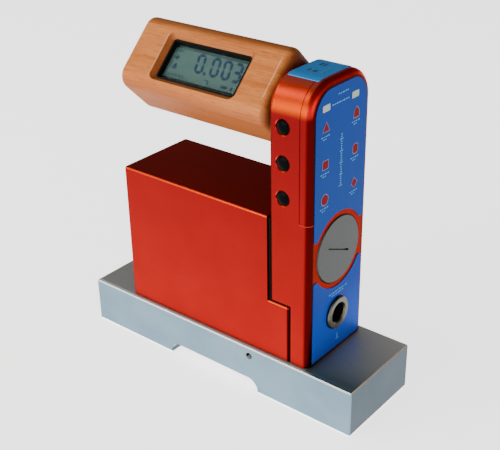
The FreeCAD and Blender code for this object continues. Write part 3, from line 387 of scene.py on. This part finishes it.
def blue_foil(name, metallic, shades):
    """Satin printed foil whose colour is painted with four shades of light from the foot of the column to its top.
    """
    finish = Finish(name, srgb(*shades[1]), 0.46, metallic=metallic, specular=0.02)
    grain = finish.noise((900, 3200, 3200), detail=3.0)
    _, _, z = finish.place()
    # Painted light and shade: the foil's colour changes with height
    rise = finish.spread(z, 0.0, 1.0, start=FOIL_RISE[0] * MM, end=FOIL_RISE[1] * MM)
    stops = [(place, srgb(*shade)) for place, shade in zip(FOIL_STOPS, shades)]
    speckle = finish.ramp(grain, [(0.35, (0.93, 0.93, 0.95, 1)), (0.65, (1, 1, 1, 1))])
    finish.colour(finish.shaded(finish.ramp(rise, stops), speckle))
    finish.gloss(grain, 0.38, 0.54)
    finish.relief((grain, 0.004 * MM))
    return finish.material


def painted_edge_highlights(finish):
    """Painted highlight lines up the front of the grip, broken by the grain."""
    x, y, z = finish.place()
    rise = finish.math("ADD", y, finish.math("SUBTRACT", z, PIVOT_Z))
    up_front = finish.product(rise, math.sqrt(0.5))
    front = finish.product(finish.facing(1, 0.35, 0.5, sign=-1), finish.facing(2, 0.2, 0.4, sign=1))
    lines = None
    for centre, low, high in EDGE_HIGHLIGHT_LINES:
        away = finish.math("ABSOLUTE", finish.math("SUBTRACT", x, centre * MM))
        line = finish.spread(away, 1.0, 0.0, start=EDGE_HIGHLIGHT_WIDTH / 4, end=EDGE_HIGHLIGHT_WIDTH)
        line = finish.product(line, finish.band(up_front, low, high, EDGE_HIGHLIGHT_FADE))
        lines = line if lines is None else finish.math("MAXIMUM", lines, line)
    broken = finish.spread(finish.noise((90, 400, 400)), 0.2, 0.7)
    return finish.product(finish.product(lines, front), broken)


def beech():
    """Oiled beech with its grain along the grip: short dark flecks on soft bands, with painted shade and
    highlights.
    """
    finish = Finish("beech", srgb(196, 120, 62), 0.62, specular=0.16)
    bands = finish.noise((9, 240, 240), detail=4.0, distortion=0.6)
    flecks = finish.cells((150, 1150, 1150))
    fibres = finish.noise((70, 2000, 2000), detail=4.0)
    pores = finish.noise((420, 3200, 3200), detail=2.0)
    wood = finish.ramp(bands, [
        (0.25, srgb(178, 96, 40)), (0.5, srgb(195, 116, 57)), (0.75, srgb(205, 130, 71))])
    fleck_shade = finish.ramp(flecks, [(0.1, (0.6, 0.46, 0.36, 1)), (0.3, (1, 1, 1, 1))])
    fibre_shade = finish.ramp(fibres, [(0.34, (0.82, 0.77, 0.72, 1)), (0.6, (1.04, 1.04, 1.04, 1))])
    pore_shade = finish.ramp(pores, [(0.28, (0.8, 0.7, 0.62, 1)), (0.4, (1, 1, 1, 1))])
    wood = finish.shaded(wood, fleck_shade, 0.6)
    wood = finish.shaded(wood, fibre_shade)
    wood = finish.shaded(wood, pore_shade, 0.8)
    # Painted shade on the top crest and on the underside; the end grain is darker and darkened further by painted
    # shade
    painted_crest = finish.facing(2, 0.74, 0.94, sign=1)
    underside_shade = finish.facing(2, -0.6, 0.4, sign=-1)
    end_grain_and_shade = finish.facing(0, 0.2, 0.85)
    for side, shade in ((painted_crest, (0.66, 0.64, 0.58, 1)), (underside_shade, (0.5, 0.42, 0.34, 1)),
                        (end_grain_and_shade, (0.42, 0.3, 0.24, 1))):
        wood = finish.blend(side, wood, finish.shaded(wood, shade))
    # Painted highlight lines up the grip's front
    finish.colour(finish.blend(painted_edge_highlights(finish), wood, srgb(232, 190, 150)))
    finish.gloss(fibres, 0.55, 0.7)
    finish.relief((fibres, 0.012 * MM), (pores, 0.01 * MM))
    return finish.material


def moulded(name, colour, roughness, grain_depth=0.006, specular=0.5):
    """Moulded plastic or rubber with a fine spark-eroded texture."""
    finish = Finish(name, colour, roughness, specular=specular)
    grain = finish.noise((1800, 1800, 1800), detail=3.0)
    cloud = finish.noise((120, 120, 120), detail=2.0)
    finish.colour(finish.ramp(cloud, [(0.3, toned(colour, 0.82)), (0.7, toned(colour, 1.15, 0.002))]))
    finish.gloss(grain, roughness - 0.05, roughness + 0.08)
    finish.relief((grain, grain_depth * MM))
    return finish.material


def turned(name, colour, roughness, centre, pitch=0.35):
    """Metal faced on a lathe: rings about the X axis through centre."""
    finish = Finish(name, colour, roughness, metallic=1.0)
    rings = finish.rings("X", pitch * MM, centre, distortion=0.6)
    scratches = finish.noise((900, 900, 900), detail=4.0)
    finish.colour(finish.ramp(scratches, [(0.3, toned(colour, 0.86)), (0.7, colour)]))
    finish.gloss(rings, roughness - 0.06, roughness + 0.08)
    finish.relief((rings, 0.004 * MM), (scratches, 0.003 * MM))
    return finish.material


def circuit_board():
    """Green solder mask over faint copper tracks."""
    finish = Finish("board", srgb(24, 84, 52), 0.35, coat=0.3)
    tracks = finish.cells((420, 420, 420), randomness=0.6)
    finish.colour(finish.ramp(tracks, [(0.2, srgb(34, 104, 62)), (0.35, srgb(20, 74, 46))]))
    finish.relief((tracks, 0.01 * MM))
    return finish.material


def lcd_glass():
    """Grey-green reflective liquid crystal, faintly mottled."""
    finish = Finish("lcd_glass", srgb(66, 96, 98), 0.5, specular=0.1)
    mottle = finish.noise((160, 160, 160), detail=3.0)
    grain = finish.noise((4200, 4200, 4200), detail=2.0)
    finish.colour(finish.ramp(mottle, [(0.3, srgb(82, 116, 114)), (0.7, srgb(92, 124, 120))]))
    finish.gloss(grain, 0.36, 0.5)
    finish.relief((grain, 0.002 * MM))
    return finish.material


def clear_window():
    """Clear acrylic: almost no colour, a sharp reflection and a few fine scratches."""
    finish = Finish("clear_window", (0.02, 0.03, 0.03, 1), 0.06, specular=0.05)
    scratches = finish.noise((300, 2600, 2600), detail=2.0)
    finish.gloss(scratches, 0.03, 0.12)
    finish.put("Alpha", 0.12)
    return finish.material


def printed(name, colour):
    """Screen-printed ink with a slightly uneven gloss."""
    finish = Finish(name, colour, 0.5, specular=0.03)
    grain = finish.noise((3000, 3000, 3000), detail=2.0)
    finish.colour(finish.ramp(grain, [(0.35, colour), (0.7, toned(colour, 1.1, 0.004))]))
    finish.gloss(grain, 0.42, 0.56)
    return finish.material


cap_low, cap_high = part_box("battery_cap")
CAP_CENTRE = (cap_low + cap_high) / 2
shell_low, shell_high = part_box("connector_shell")
SOCKET_CENTRE = (shell_low + shell_high) / 2

finishes = {
    "ground_steel": ground_steel(),
    "red_anodised": red_anodised(),
    "blue_foil": blue_foil("blue_foil", 0.3, ((36, 86, 200), (4, 54, 140), (4, 54, 126), (4, 50, 124))),
    "beech": beech(),
    "black_plastic": moulded("black_plastic", srgb(10, 11, 12), 0.5, specular=0.08),
    "black_seal": moulded("black_seal", srgb(6, 5, 5), 0.7, specular=0.06),
    "key_rubber": moulded("key_rubber", srgb(1, 1, 2), 0.2, grain_depth=0.001, specular=0.015),
    "clear_window": clear_window(),
    "lcd_glass": lcd_glass(),
    "board": circuit_board(),
    "chip": moulded("chip", srgb(30, 30, 32), 0.45),
    "screw_steel": turned("screw_steel", srgb(150, 152, 156), 0.34, (0, 0, 0)),
    "turned_steel": turned("turned_steel", srgb(160, 162, 165), 0.32, (0, 0, PIVOT_Z)),
    "nickel": turned("nickel", srgb(92, 90, 80), 0.34, SOCKET_CENTRE, pitch=0.5),
    "brass": turned("brass", srgb(196, 164, 92), 0.28, SOCKET_CENTRE, pitch=0.4),
    "cell_can": turned("cell_can", srgb(120, 124, 128), 0.35, CAP_CENTRE, pitch=1.2),
    "sleeve": moulded("sleeve", srgb(196, 192, 180), 0.5),
    "cradle": turned("cradle", srgb(150, 153, 156), 0.4, (0, 0, 0), pitch=0.6),
    "ceramic": moulded("ceramic", srgb(222, 218, 206), 0.35, grain_depth=0.003),
    "wire": moulded("wire", srgb(92, 92, 96), 0.5),
}
top_foil = blue_foil(
    "top_foil", 0.1, ((40, 120, 200), (44, 126, 206), (48, 134, 212), (60, 144, 220)))
cap_metal = turned("cap_metal", srgb(62, 64, 63), 0.42, CAP_CENTRE, pitch=0.3)
ink_dark = printed("ink_dark", srgb(46, 72, 96))
ink_faint = printed("ink_faint", srgb(64, 94, 98))
ink_red = printed("ink_red", srgb(104, 4, 14))
ink_cream = printed("ink_cream", srgb(150, 162, 150))
ink_edge = printed("ink_edge", srgb(120, 110, 140))
ink_sky = printed("ink_sky", srgb(84, 150, 196))
ink_navy = printed("ink_navy", srgb(66, 88, 112))


def smooth(piece):
    """Smooth faces that keep their corners crisp."""
    mesh = piece.data
    mesh.polygons.foreach_set("use_smooth", [True] * len(mesh.polygons))
    weld = piece.modifiers.new("weld", "WELD")
    weld.merge_threshold = WELD_REACH
    crease = piece.modifiers.new("crease", "EDGE_SPLIT")
    crease.split_angle = CREASE_ANGLE
    piece.modifiers.new("normals", "WEIGHTED_NORMAL")


def dress_nodes():
    own = {"battery_cap": cap_metal, "top_label": top_foil}
    for entry in frame["record"]["subparts"]:
        node = frame["nodes"][entry["node"]]
        material = own.get(entry["node"], finishes[entry["material_slot"]])
        node.data.materials.clear()
        node.data.materials.append(material)
        smooth(node)


def printed_marks(name, outlines, place, depth, material, body):
    """Thin printed plates in one mesh, put on their surface by place(u, v, w)."""
    mesh = bpy.data.meshes.new(name)
    bm = bmesh.new()
    for outline in outlines:
        slab(bm, outline, place, depth)
    bmesh.ops.recalc_face_normals(bm, faces=bm.faces)
    bm.to_mesh(mesh)
    bm.free()
    mesh.materials.append(material)
    piece = bpy.data.objects.new(name, mesh)
    bpy.context.scene.collection.objects.link(piece)
    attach(piece, body)


def slab(bm, outline, place, thickness):
    """Thin plate with a flat outline in millimetres; place gives its points in the row frame."""
    low = [bm.verts.new(place(u, v, 0.0)) for u, v in outline]
    high = [bm.verts.new(place(u, v, thickness)) for u, v in outline]
    bm.faces.new(low[::-1])
    bm.faces.new(high)
    for index in range(len(outline)):
        after = (index + 1) % len(outline)
        bm.faces.new((low[index], low[after], high[after], high[index]))


def rounded_box(half_u, half_v, radius, centre, steps=4):
    """Outline of a box with rounded corners, each in a few steps."""
    points = []
    for corner, (side_u, side_v) in enumerate(((1, 1), (-1, 1), (-1, -1), (1, -1))):
        for step in range(steps + 1):
            turn = math.radians(90 * (corner + step / steps))
            points.append((centre[0] + side_u * (half_u - radius) + radius * math.cos(turn),
                           centre[1] + side_v * (half_v - radius) + radius * math.sin(turn)))
    return points


def polygon(radius, sides, turn, centre):
    turns = [math.radians(turn + 360 * side / sides) for side in range(sides)]
    return [(centre[0] + radius * math.cos(angle), centre[1] + radius * math.sin(angle))
            for angle in turns]


# Front label: u runs along +Y, v is the height, both in millimetres, and so are the marks' depths
LABEL_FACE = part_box("upper_label")[1].x
MARK_DEPTH = 0.05
EDGE_DEPTH = 0.03
LEFT_MARKS = -10.7
RIGHT_MARKS = 9.9
MARK_ROWS = (129.1, 113.6, 98.6)
FLAG_ROW = 136.8

# The five-cornered symbol, the share by which a symbol's light edge is larger than the symbol, and the
# drop below a symbol and the width of each line of its caption
HOUSE = ((-1.8, -2.1), (1.8, -2.1), (1.8, 0.5), (0, 2.3), (-1.8, 0.5))
SYMBOL_EDGE = 1.14
CAPTIONS = ((3.6, 6.4), (4.7, 4.0))

# The scale's lowest tick and its number of ticks, a millimetre apart
SCALE_FOOT = 101.0
SCALE_TICKS = 23

# Lengths of the dashes in turn, and the gap between two
DASHES = (1.1, 0.7, 1.4)
DASH_GAP = 0.45


def on_front(u, v, w):
    return Vector((LABEL_FACE + STAND_OFF, u * MM, v * MM)) + Vector((w * MM, 0, 0))


def front_marks(name, outlines, material, depth=MARK_DEPTH):
    printed_marks(name, outlines, on_front, depth, material, "root")


def bar(width, height, centre):
    """A short line with rounded ends."""
    return rounded_box(width / 2, height / 2, min(width, height) * 0.35, centre, steps=3)


def dashes(width, height, centre):
    """A broken line: dashes of three lengths in turn."""
    found = []
    start = centre[0] - width / 2
    step = 0
    while start + DASHES[step % 3] <= centre[0] + width / 2:
        length = DASHES[step % 3]
        found.append(bar(length, height, (start + length / 2, centre[1])))
        start += length + DASH_GAP
        step += 1
    return found


def grown(outline, share):
    """The outline, larger about its own middle."""
    middle_u = sum(u for u, v in outline) / len(outline)
    middle_v = sum(v for u, v in outline) / len(outline)
    return [(middle_u + (u - middle_u) * share, middle_v + (v - middle_v) * share) for u, v in outline]


def label_marks():
    symbols = [
        polygon(2.5, 3, 90, (LEFT_MARKS, MARK_ROWS[0] - 0.4)),
        rounded_box(1.75, 1.75, 0.3, (LEFT_MARKS, MARK_ROWS[1])),
        polygon(2.2, 28, 0, (LEFT_MARKS, MARK_ROWS[2])),
        [(RIGHT_MARKS + u, MARK_ROWS[0] + v) for u, v in HOUSE],
        rounded_box(1.7, 2.0, 1.2, (RIGHT_MARKS, MARK_ROWS[1])),
        polygon(2.1, 4, 90, (RIGHT_MARKS, MARK_ROWS[2])),
    ]
    outlined = [grown(outline, SYMBOL_EDGE) for outline in symbols]
    front_marks("key_mark_edges", outlined, ink_edge, EDGE_DEPTH)
    front_marks("key_marks", symbols, ink_red)
    flags = [rounded_box(2.4, 1.35, 0.4, (side, FLAG_ROW)) for side in (-10.8, 8.8)]
    front_marks("flag_marks", flags, ink_cream)
    captions = []
    for column in (LEFT_MARKS, RIGHT_MARKS):
        for row in MARK_ROWS:
            for drop, width in CAPTIONS:
                captions += dashes(width, 0.4, (column, row - drop))
    captions += dashes(12.0, 0.5, (-1.0, FLAG_ROW)) + dashes(8.0, 0.4, (1.0, FLAG_ROW + 3.4))
    front_marks("caption_bars", captions, ink_sky)
    scale = [bar(1.0 if step % 5 else 2.2, 0.4, (0.0, SCALE_FOOT + step))
             for step in range(SCALE_TICKS)]
    front_marks("middle_scale", scale, ink_sky)
    socket = dashes(14.0, 0.5, (1.0, 52.2)) + dashes(10.0, 0.45, (1.0, 50.9))
    socket += [bar(0.6, 2.4, (0.8, 29.3)), bar(2.2, 0.5, (0.8, 27.6))]
    front_marks("socket_bars", socket, ink_sky)


# Display: u runs along +X and v up the glass, from its centre, in millimetres
lcd_low, lcd_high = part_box("lcd_panel")
DISPLAY_X = (lcd_low.x + lcd_high.x) / 2 / MM


def glass_heights():
    """Top of the panel's glass and the middle of its width, measured in the grip's own frame."""
    back = GRIP_TURN.inverted()
    points = [back @ vertex.co for vertex in frame["nodes"]["lcd_panel"].data.vertices]
    heights = [point.z for point in points]
    widths = [point.y for point in points]
    return max(heights), (max(widths) + min(widths)) / 2


GLASS_TOP, GLASS_MIDDLE = glass_heights()


def on_glass(u, v, w):
    local = Vector(((DISPLAY_X + u) * MM, GLASS_MIDDLE + v * MM, GLASS_TOP + STAND_OFF / 2 + w * MM))
    return GRIP_TURN @ local


def glass_marks(name, outlines, material, depth):
    printed_marks(name, outlines, on_glass, depth, material, "handle")


# The display's marks, in millimetres: their depths, and the reading's digits of seven strokes
READING_DEPTH = 0.04
GHOST_DEPTH = 0.03
READING = "0003"
SEGMENTS = {"0": "abcdef", "3": "abcdg"}
DIGIT_HEIGHT = 9.0
DIGIT_WIDTH = 4.8
DIGIT_STROKE = 1.4
DIGIT_LEAN = -0.18
DIGIT_GAP = 0.1
DIGIT_PLACES = (-4.2, 3.9, 10.0, 15.6)
DIGIT_MIDDLE = 2.1
POINT_PLACE = 0.0


def segment(kind):
    """Outline of one of the seven strokes of a digit, with slanted ends."""
    half_w = DIGIT_WIDTH / 2 - DIGIT_STROKE / 2
    half_h = DIGIT_HEIGHT / 2 - DIGIT_STROKE / 2
    nib = DIGIT_STROKE / 2
    level = {"a": half_h, "g": 0.0, "d": -half_h}
    if kind in level:
        reach = half_w - DIGIT_GAP
        y = level[kind]
        return [(-reach, y), (-reach + nib, y - nib), (reach - nib, y - nib), (reach, y),
                (reach - nib, y + nib), (-reach + nib, y + nib)]
    side = 1 if kind in "bc" else -1
    middle = half_h / 2 if kind in "bf" else -half_h / 2
    reach = half_h / 2 - DIGIT_GAP
    x = side * half_w
    return [(x, middle - reach), (x + nib, middle - reach + nib), (x + nib, middle + reach - nib),
            (x, middle + reach), (x - nib, middle + reach - nib), (x - nib, middle - reach + nib)]


def lean(outline, x, y):
    return [(x + u + v * DIGIT_LEAN, y + v) for u, v in outline]


def lcd_marks():
    reading = []
    for centre, digit in zip(DIGIT_PLACES, READING):
        for kind in SEGMENTS[digit]:
            reading.append(lean(segment(kind), centre, DIGIT_MIDDLE))
    point = (POINT_PLACE, DIGIT_MIDDLE - DIGIT_HEIGHT / 2 + DIGIT_STROKE / 2)
    reading.append(rounded_box(0.7, 0.7, 0.2, point))
    icons = [bar(2.6, 0.8, (-17.4, 2.6)), bar(0.8, 2.6, (-17.4, 2.6)),
             polygon(1.5, 3, 90, (-16.4, -1.2)), bar(2.6, 0.5, (-16.4, -2.4)),
             bar(1.8, 0.55, (2.6, -4.3)), bar(0.55, 1.8, (3.8, -5.3)),
             bar(3.6, 1.2, (12.4, -5.2)), bar(1.0, 1.6, (16.4, -5.2))]
    ghosts = [bar(1.2, 1.4, (-17.4 + step * 1.9, -5.4)) for step in range(5)]
    ghosts.append(bar(3.4, 1.2, (-17.2, 5.8)))
    glass_marks("display_reading", reading, ink_dark, READING_DEPTH)
    glass_marks("display_icons", icons, ink_dark, READING_DEPTH)
    glass_marks("display_ghosts", ghosts, ink_faint, GHOST_DEPTH)


# Top label's dark bars: place from the label's middle along X and Y, and size, in millimetres
TOP_DARK_BARS = (
    (-2.5, 4.6, 1.0, 3.2), (-0.6, 4.6, 0.8, 3.2), (-2.6, -3.4, 0.9, 2.6), (0.2, -3.6, 1.8, 2.4))
top_low, top_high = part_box("top_label")


def top_marks():
    centre = (top_low + top_high) / 2

    def on_top(u, v, w):
        return Vector((centre.x + u * MM, centre.y + v * MM, top_high.z + STAND_OFF + w * MM))

    dark = [bar(width, height, (u, v)) for u, v, width, height in TOP_DARK_BARS]
    light = [bar(0.7, 6.6, (3.6, -0.6))]
    printed_marks("top_dark_marks", dark, on_top, MARK_DEPTH, ink_navy, "root")
    printed_marks("top_light_bar", light, on_top, MARK_DEPTH, ink_sky, "root")


def area_light(name, place, size, power, colour):
    """A soft box that looks at the middle of the level."""
    data = bpy.data.lights.new(name, "AREA")
    data.shape = "RECTANGLE"
    data.size, data.size_y = size
    data.energy = power
    data.color = colour
    light = bpy.data.objects.new(name, data)
    light.location = place
    light.rotation_euler = (Vector(LIGHT_TARGET) - Vector(place)).to_track_quat("-Z", "Y").to_euler()
    bpy.context.scene.collection.objects.link(light)


def studio():
    """Low frontal light, a high one from the left and a weak one from the right, in a dim room."""
    for light in LIGHTS:
        area_light(*light)
    world = bpy.data.worlds.new("studio")
    bpy.context.scene.world = world
    world.use_nodes = True
    nodes, links = world.node_tree.nodes, world.node_tree.links
    coordinates = nodes.new("ShaderNodeTexCoord")

    def fading(value, first, last):
        """The value, with the range first stretched onto the range last and clamped."""
        node = nodes.new("ShaderNodeMapRange")
        node.inputs["From Min"].default_value, node.inputs["From Max"].default_value = first
        node.inputs["To Min"].default_value, node.inputs["To Max"].default_value = last
        links.new(value, node.inputs["Value"])
        return node.outputs["Result"]

    towards = nodes.new("ShaderNodeVectorMath")
    towards.operation = "DOT_PRODUCT"
    towards.inputs[1].default_value = ROOM_BRIGHT_SIDE
    links.new(coordinates.outputs["Generated"], towards.inputs[0])
    split = nodes.new("ShaderNodeSeparateXYZ")
    links.new(coordinates.outputs["Generated"], split.inputs["Vector"])
    level = nodes.new("ShaderNodeMath")
    level.operation = "MULTIPLY"
    links.new(fading(towards.outputs["Value"], (-0.5, 1.0), (ROOM_DARK, ROOM_BRIGHT)), level.inputs[0])
    links.new(fading(split.outputs["Z"], (0.05, 0.6), (1.0, ROOM_CEILING)), level.inputs[1])
    links.new(level.outputs["Value"], nodes["Background"].inputs["Strength"])
    nodes["Background"].inputs["Color"].default_value = (1, 1, 1, 1)


def floor():
    """Plain pale paper that glows a little."""
    finish = Finish("floor_paper", srgb(246, 246, 246), 0.8, specular=0.1)
    grain = finish.noise((60, 60, 60), detail=2.0)
    finish.colour(finish.ramp(grain, [(0.3, srgb(244, 244, 244)), (0.7, srgb(248, 248, 248))]))
    finish.put("Emission Color", (1, 1, 1, 1))
    finish.put("Emission Strength", FLOOR_GLOW)
    mesh = bpy.data.meshes.new("floor")
    corners = [(-FLOOR_REACH, -FLOOR_REACH, 0), (FLOOR_REACH, -FLOOR_REACH, 0),
               (FLOOR_REACH, FLOOR_REACH, 0), (-FLOOR_REACH, FLOOR_REACH, 0)]
    mesh.from_pydata(corners, [], [(0, 1, 2, 3)])
    mesh.materials.append(finish.material)
    sheet = bpy.data.objects.new("floor", mesh)
    bpy.context.scene.collection.objects.link(sheet)


def camera():
    forward = Vector((-math.sin(CAMERA_YAW) * math.cos(CAMERA_PITCH),
                      math.cos(CAMERA_YAW) * math.cos(CAMERA_PITCH), math.sin(CAMERA_PITCH)))
    level = Vector((math.cos(CAMERA_YAW), math.sin(CAMERA_YAW), 0))
    upright = level.cross(forward)
    right = level * math.cos(CAMERA_ROLL) + upright * math.sin(CAMERA_ROLL)
    up = -level * math.sin(CAMERA_ROLL) + upright * math.cos(CAMERA_ROLL)
    data = bpy.data.cameras.new("camera")
    data.sensor_width = SENSOR_WIDTH
    data.lens = FOCAL_PIXELS / PICTURE_WIDTH * data.sensor_width
    view = bpy.data.objects.new("camera", data)
    view.matrix_world = Matrix((right, up, -forward)).transposed().to_4x4()
    view.location = CAMERA_PLACE
    bpy.context.scene.collection.objects.link(view)
    bpy.context.scene.camera = view


dress_nodes()
label_marks()
lcd_marks()
top_marks()
floor()
studio()
camera()
